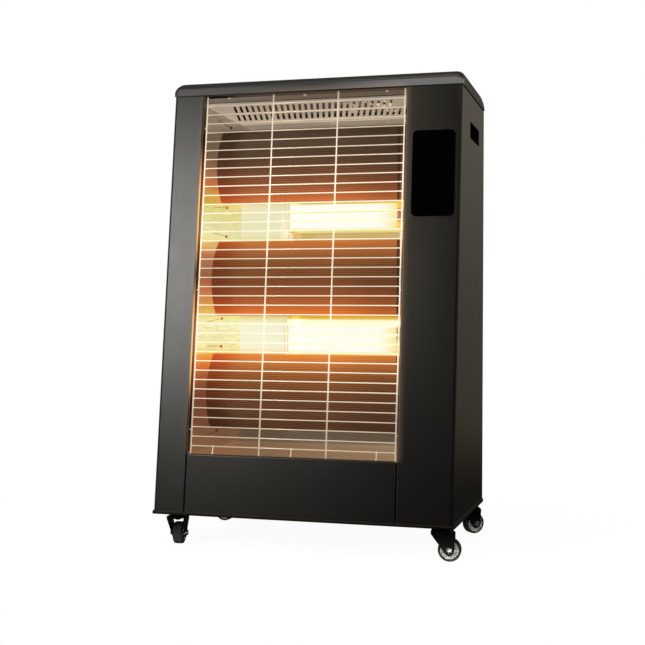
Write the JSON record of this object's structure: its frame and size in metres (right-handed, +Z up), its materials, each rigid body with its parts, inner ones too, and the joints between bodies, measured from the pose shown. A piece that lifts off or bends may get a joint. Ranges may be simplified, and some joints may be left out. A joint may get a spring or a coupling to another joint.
{
  "type": "infrared heater",
  "caption": "Floor-standing infrared heater: leaning sheet-metal cabinet, wire guard over ribbed radiator drums and quartz lamps, touch panel, side handle pockets and swivel castors.",
  "frame": {"origin": "on the floor under the middle of the overall box, which is also the middle of the base tray", "axes": "+Z up, -Y is the front with the wire guard, +X is to the right seen from the front"},
  "size_m": [0.6939, 0.449, 1.071],
  "materials": {
    "bronze_paint": "satin dark bronze-black powder coat",
    "lid_plastic": "satin moulded charcoal",
    "polished_liner": "polished steel sheet, warmed by heat",
    "radiator_drum": "ribbed dark brown heat-resistant coat, glowing near the lamps",
    "quartz_lamp": "glowing quartz tube",
    "ceramic": "unglazed white ceramic",
    "guard_wire": "bright plated wire",
    "touch_glass": "gloss black glass",
    "black_plastic": "fine moulded texture",
    "circuit_board": "green solder mask",
    "zinc_steel": "zinc plated",
    "castor_steel": "black coated pressed steel",
    "castor_axle": "zinc plated bolt and nut",
    "castor_hub": "pale grey moulded hub",
    "castor_tyre": "dark grey rubber tread"
  },
  "bodies": {
    "root": {"base_tray": "bronze_paint", "left_side_panel": "bronze_paint", "right_side_panel": "bronze_paint", "front_lower_panel": "bronze_paint", "back_panel": "bronze_paint", "lid": "lid_plastic", "chamber_left_wall": "polished_liner", "chamber_right_wall": "polished_liner", "chamber_floor": "polished_liner", "chamber_ceiling": "polished_liner", "back_reflector": "polished_liner", "drum_upper": "radiator_drum", "drum_middle": "radiator_drum", "drum_lower": "radiator_drum", "lamp_upper_1": "quartz_lamp", "lamp_upper_2": "quartz_lamp", "lamp_upper_3": "quartz_lamp", "lamp_lower_1": "quartz_lamp", "lamp_lower_2": "quartz_lamp", "lamp_lower_3": "quartz_lamp", "lamp_holder_upper_left": "ceramic", "lamp_holder_upper_right": "ceramic", "lamp_holder_lower_left": "ceramic", "lamp_holder_lower_right": "ceramic", "wire_guard": "guard_wire", "touch_glass": "touch_glass", "left_handle_pocket": "black_plastic", "right_handle_pocket": "black_plastic", "touch_housing": "black_plastic", "cord_bushing": "black_plastic", "terminal_block": "black_plastic", "tip_over_switch": "black_plastic", "control_board": "circuit_board", "power_board": "circuit_board", "lamp_rail_left": "zinc_steel", "lamp_rail_right": "zinc_steel", "thermal_cutout": "zinc_steel", "castor_front_left_plate": "castor_steel", "castor_front_right_plate": "castor_steel", "castor_back_left_plate": "castor_steel", "castor_back_right_plate": "castor_steel"},
    "castor_front_left_swivel": {"castor_front_left_fork": "castor_steel", "castor_front_left_axle": "castor_axle"},
    "castor_front_left_wheel": {"castor_front_left_hub": "castor_hub", "castor_front_left_tyre": "castor_tyre"},
    "castor_front_right_swivel": {"castor_front_right_fork": "castor_steel", "castor_front_right_axle": "castor_axle"},
    "castor_front_right_wheel": {"castor_front_right_hub": "castor_hub", "castor_front_right_tyre": "castor_tyre"},
    "castor_back_left_swivel": {"castor_back_left_fork": "castor_steel", "castor_back_left_axle": "castor_axle"},
    "castor_back_left_wheel": {"castor_back_left_hub": "castor_hub", "castor_back_left_tyre": "castor_tyre"},
    "castor_back_right_swivel": {"castor_back_right_fork": "castor_steel", "castor_back_right_axle": "castor_axle"},
    "castor_back_right_wheel": {"castor_back_right_hub": "castor_hub", "castor_back_right_tyre": "castor_tyre"}
  },
  "joints": [
    {"name": "front_left_swivel", "type": "hinge", "parent": "root", "child": "castor_front_left_swivel", "pos_m": [-0.297, -0.181, 0.062], "axis": [0, 0, 1], "continuous": true},
    {"name": "front_left_roll", "type": "hinge", "parent": "castor_front_left_swivel", "child": "castor_front_left_wheel", "pos_m": [-0.29951, -0.16318, 0.025], "axis": [-0.9903, -0.1392, 0], "continuous": true},
    {"name": "front_right_swivel", "type": "hinge", "parent": "root", "child": "castor_front_right_swivel", "pos_m": [0.308, -0.181, 0.062], "axis": [0, 0, 1], "continuous": true},
    {"name": "front_right_roll", "type": "hinge", "parent": "castor_front_right_swivel", "child": "castor_front_right_wheel", "pos_m": [0.32593, -0.17943, 0.025], "axis": [-0.0872, 0.9962, 0], "continuous": true},
    {"name": "back_left_swivel", "type": "hinge", "parent": "root", "child": "castor_back_left_swivel", "pos_m": [-0.297, 0.181, 0.062], "axis": [0, 0, 1], "continuous": true},
    {"name": "back_left_roll", "type": "hinge", "parent": "castor_back_left_swivel", "child": "castor_back_left_wheel", "pos_m": [-0.31493, 0.18257, 0.025], "axis": [-0.0872, -0.9962, 0], "continuous": true},
    {"name": "back_right_swivel", "type": "hinge", "parent": "root", "child": "castor_back_right_swivel", "pos_m": [0.308, 0.181, 0.062], "axis": [0, 0, 1], "continuous": true},
    {"name": "back_right_roll", "type": "hinge", "parent": "castor_back_right_swivel", "child": "castor_back_right_wheel", "pos_m": [0.32179, 0.19257, 0.025], "axis": [-0.6428, 0.766, 0], "continuous": true}
  ]
}
